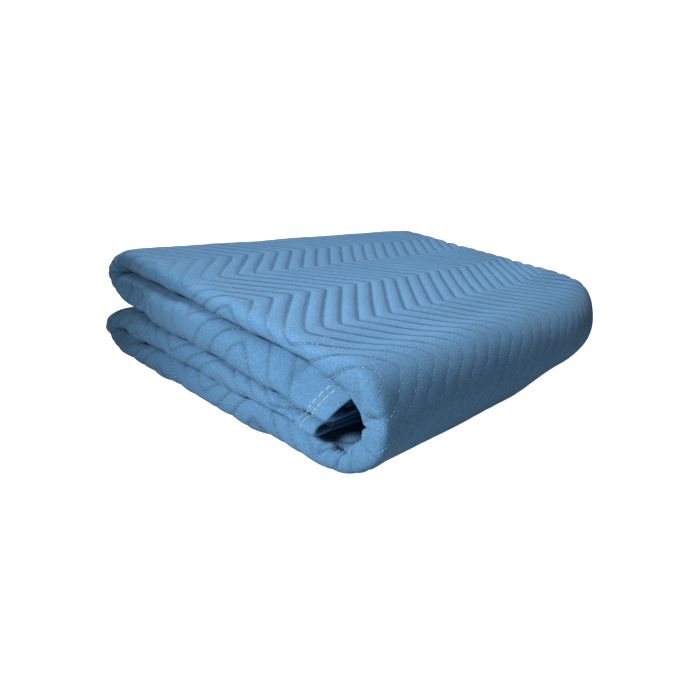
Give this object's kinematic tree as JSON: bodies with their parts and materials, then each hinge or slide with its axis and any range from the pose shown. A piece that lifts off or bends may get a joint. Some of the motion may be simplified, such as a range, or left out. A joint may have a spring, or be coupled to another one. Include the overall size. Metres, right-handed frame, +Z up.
{
  "type": "folded quilted moving blanket",
  "caption": "Quilted moving blanket folded flat into a thick layered stack, its bound hems tucked inside the open front fold.",
  "frame": {"origin": "centre of the folded stack's footprint, on the surface that it lies on", "axes": "+X along the great front fold, from the face where the panel folds show to the far end; +Y from the great front fold to the back folds; +Z up"},
  "size_m": [0.6752, 0.5101, 0.1464],
  "materials": {
    "felt": "matt needle-felt, blue melange",
    "binding": "matt felt strip, sewn with pale thread"
  },
  "bodies": {
    "root": {"quilted_blanket": "felt", "binding_end_upper": "binding", "binding_end_lower": "binding", "binding_side_middle": "binding", "binding_side_inner": "binding"}
  },
  "joints": []
}
